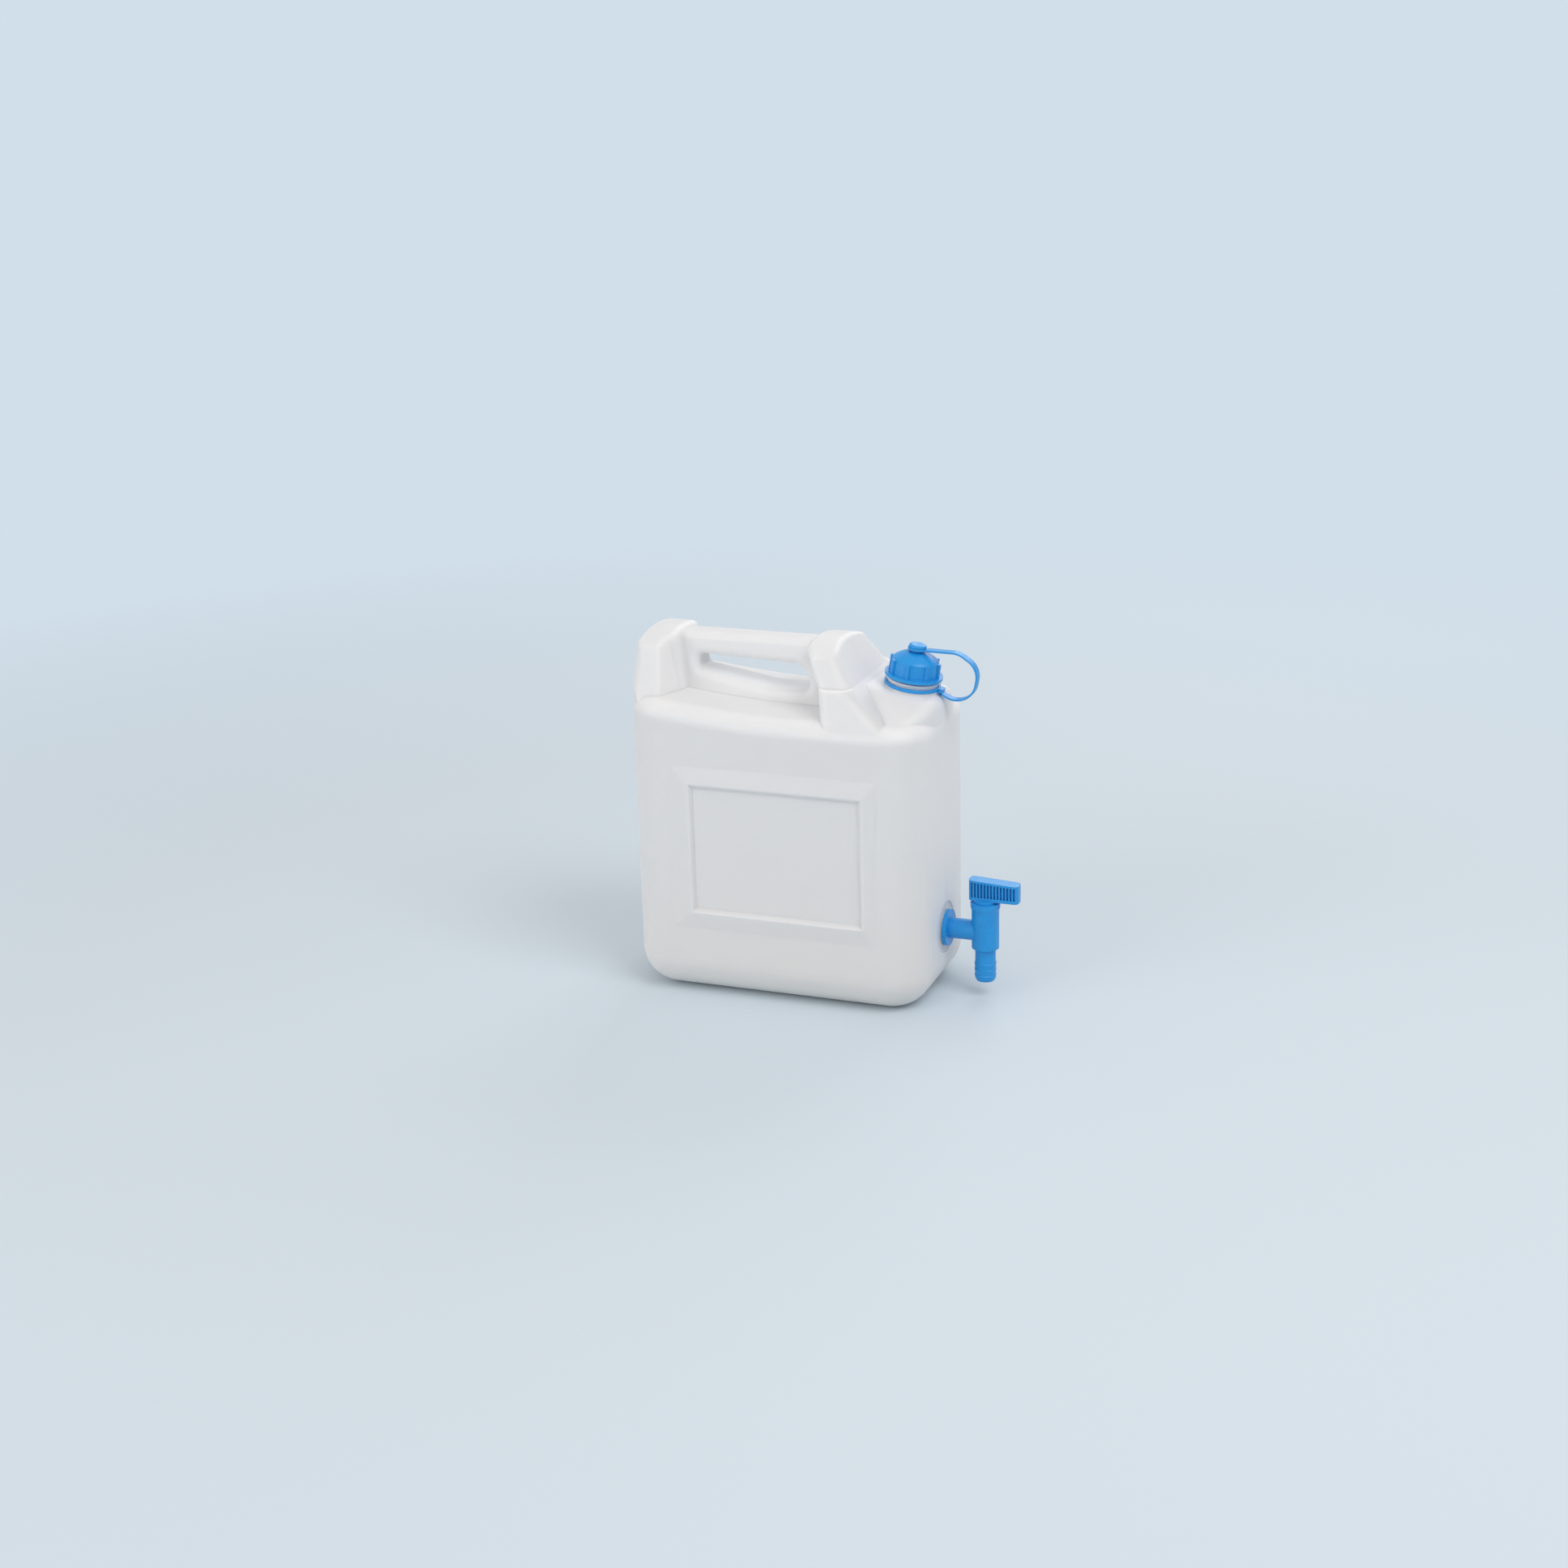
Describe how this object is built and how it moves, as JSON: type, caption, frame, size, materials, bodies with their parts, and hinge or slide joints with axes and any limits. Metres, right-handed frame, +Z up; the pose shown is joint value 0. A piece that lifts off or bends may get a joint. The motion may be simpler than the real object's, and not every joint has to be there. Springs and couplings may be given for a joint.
{
  "type": "carboy with spigot",
  "caption": "Translucent rectangular carboy with carrying handle, tethered ribbed screw cap and a stopcock with hose tail low on the front.",
  "frame": {"origin": "middle of the tank's underside, in the plane of the rim it stands on", "axes": "+X from the rear towards the tap, +Z up, the X-Z plane halves the object"},
  "size_m": [0.339, 0.1564, 0.32],
  "materials": {
    "canister": "natural translucent polyethylene, satin",
    "cap": "injection-moulded, semi-gloss",
    "liner": "soft sealing disc",
    "tap": "injection-moulded, semi-gloss"
  },
  "bodies": {
    "canister": {"canister_body": "canister", "tap_body": "tap", "tap_gasket": "liner"},
    "strap": {"retaining_strap": "cap"},
    "cap": {"screw_cap": "cap", "cap_gasket": "liner"},
    "key": {"tap_key": "tap"}
  },
  "joints": [
    {"name": "cap_rise", "type": "slide", "parent": "canister", "child": "strap", "axis": [0.153, 0, 0.9882], "range_m": [0, 0.012], "deforming": ["retaining_strap"]},
    {"name": "cap_turn", "type": "hinge", "parent": "strap", "child": "cap", "pos_m": [0.1066, 0, 0.2785], "axis": [0.153, 0, 0.9882], "range_deg": [0, 720]},
    {"name": "tap_turn", "type": "hinge", "parent": "canister", "child": "key", "pos_m": [0.172, 0, 0.088], "axis": [0, 0, 1], "range_deg": [0, 90]}
  ],
  "couplings": [
    {"joint": "cap_rise", "follows": "cap_turn", "m_per_rad": 0.00095493}
  ]
}
